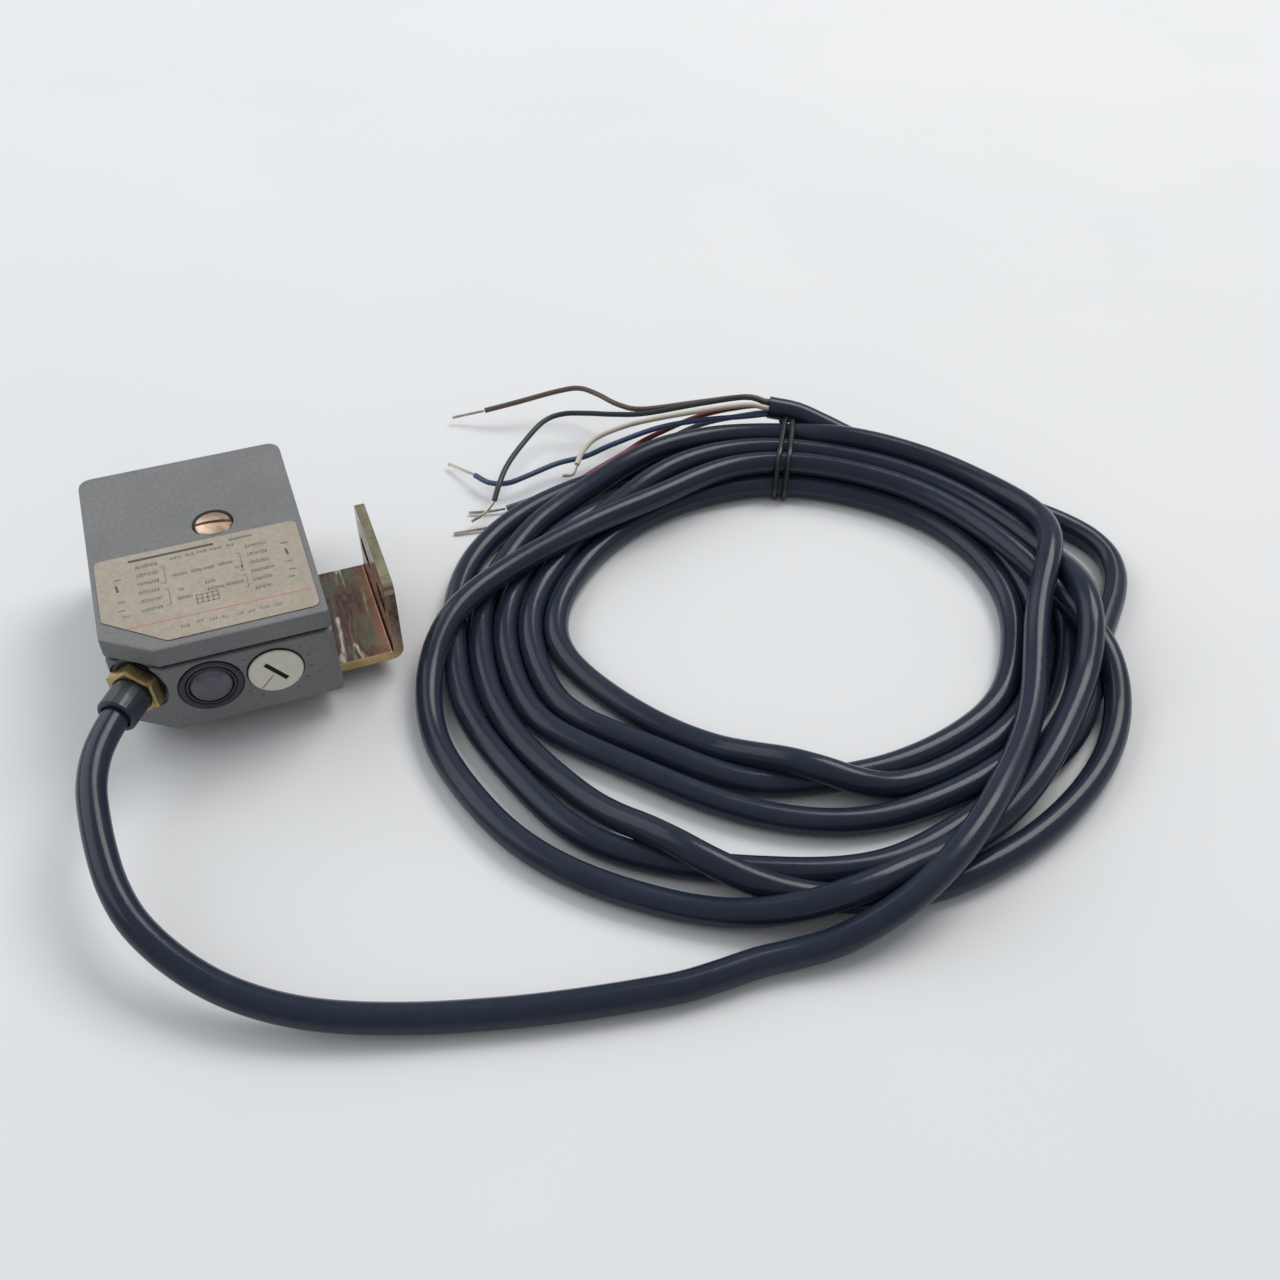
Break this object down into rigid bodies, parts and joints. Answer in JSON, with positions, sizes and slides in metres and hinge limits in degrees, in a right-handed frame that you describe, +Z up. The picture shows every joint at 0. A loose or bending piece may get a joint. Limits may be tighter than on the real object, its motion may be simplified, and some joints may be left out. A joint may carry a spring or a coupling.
{
  "type": "photoelectric sensor",
  "caption": "Box-shaped photoelectric sensor with a screwed lid, sensitivity knob, indicator window, cable gland, bent mounting bracket and a tied coil of cable with stripped wires.",
  "frame": {"origin": "on the surface the sensor stands on, below the middle of the sensor without its cable", "axes": "+X to the right along the control face, +Y from the control face to the optical face, +Z up"},
  "size_m": [0.2403, 0.2026, 0.0316],
  "materials": {
    "grey_paint": "matt textured paint",
    "rubber": "matt",
    "copper_screw": "plated, satin",
    "brass": "plated, satin",
    "label": "satin film",
    "cream_plastic": "satin",
    "dark_lens": "polished",
    "red_window": "polished, see-through for the beam",
    "clear_lens": "polished",
    "black_plastic": "satin",
    "board": "varnished circuit board",
    "zinc": "yellow zinc plating with rainbow tints",
    "steel": "bright zinc plating",
    "cable": "smooth semi-gloss sheath",
    "bare_copper": "tinned copper strands",
    "wire_brown": "satin",
    "wire_black": "satin",
    "wire_white": "satin",
    "wire_blue": "satin",
    "wire_green": "satin",
    "wire_red": "satin"
  },
  "bodies": {
    "sensor": {"housing_base": "grey_paint", "top_cover": "grey_paint", "cover_gasket": "rubber", "cover_screw": "copper_screw", "threaded_insert": "brass", "rating_label": "label", "knob_seal": "rubber", "potentiometer": "black_plastic", "window_seal": "rubber", "window_bezel": "grey_paint", "indicator_lens": "dark_lens", "indicator_led": "red_window", "control_board": "board", "main_board": "board", "optics_board": "board", "amplifier_chip": "black_plastic", "filter_capacitor": "steel", "output_transistor": "black_plastic", "lens_holder": "black_plastic", "emitter_lens": "clear_lens", "receiver_lens": "clear_lens", "emitter_diode": "dark_lens", "receiver_diode": "dark_lens", "optical_window": "red_window", "gland_body": "brass", "gland_washer": "rubber", "gland_locknut": "brass", "strain_relief": "rubber", "mounting_bracket": "zinc", "bracket_screw_left": "steel", "bracket_screw_right": "steel", "spring_washer_left": "steel", "spring_washer_right": "steel", "cable_lead": "cable", "cable_coil": "cable", "cable_tail": "cable", "cable_tie": "rubber", "wire_brown": "wire_brown", "strand_brown": "bare_copper", "wire_black": "wire_black", "strand_black": "bare_copper", "wire_white": "wire_white", "strand_white": "bare_copper", "wire_blue": "wire_blue", "strand_blue": "bare_copper", "wire_green": "wire_green", "strand_green": "bare_copper", "wire_red": "wire_red", "strand_red": "bare_copper"},
    "knob": {"sensitivity_knob": "cream_plastic"}
  },
  "joints": [
    {"name": "sensitivity_turn", "type": "hinge", "parent": "sensor", "child": "knob", "pos_m": [0.00411, -0.02934, 0.0177], "axis": [0, 1, 0], "range_deg": [0, 270]}
  ]
}
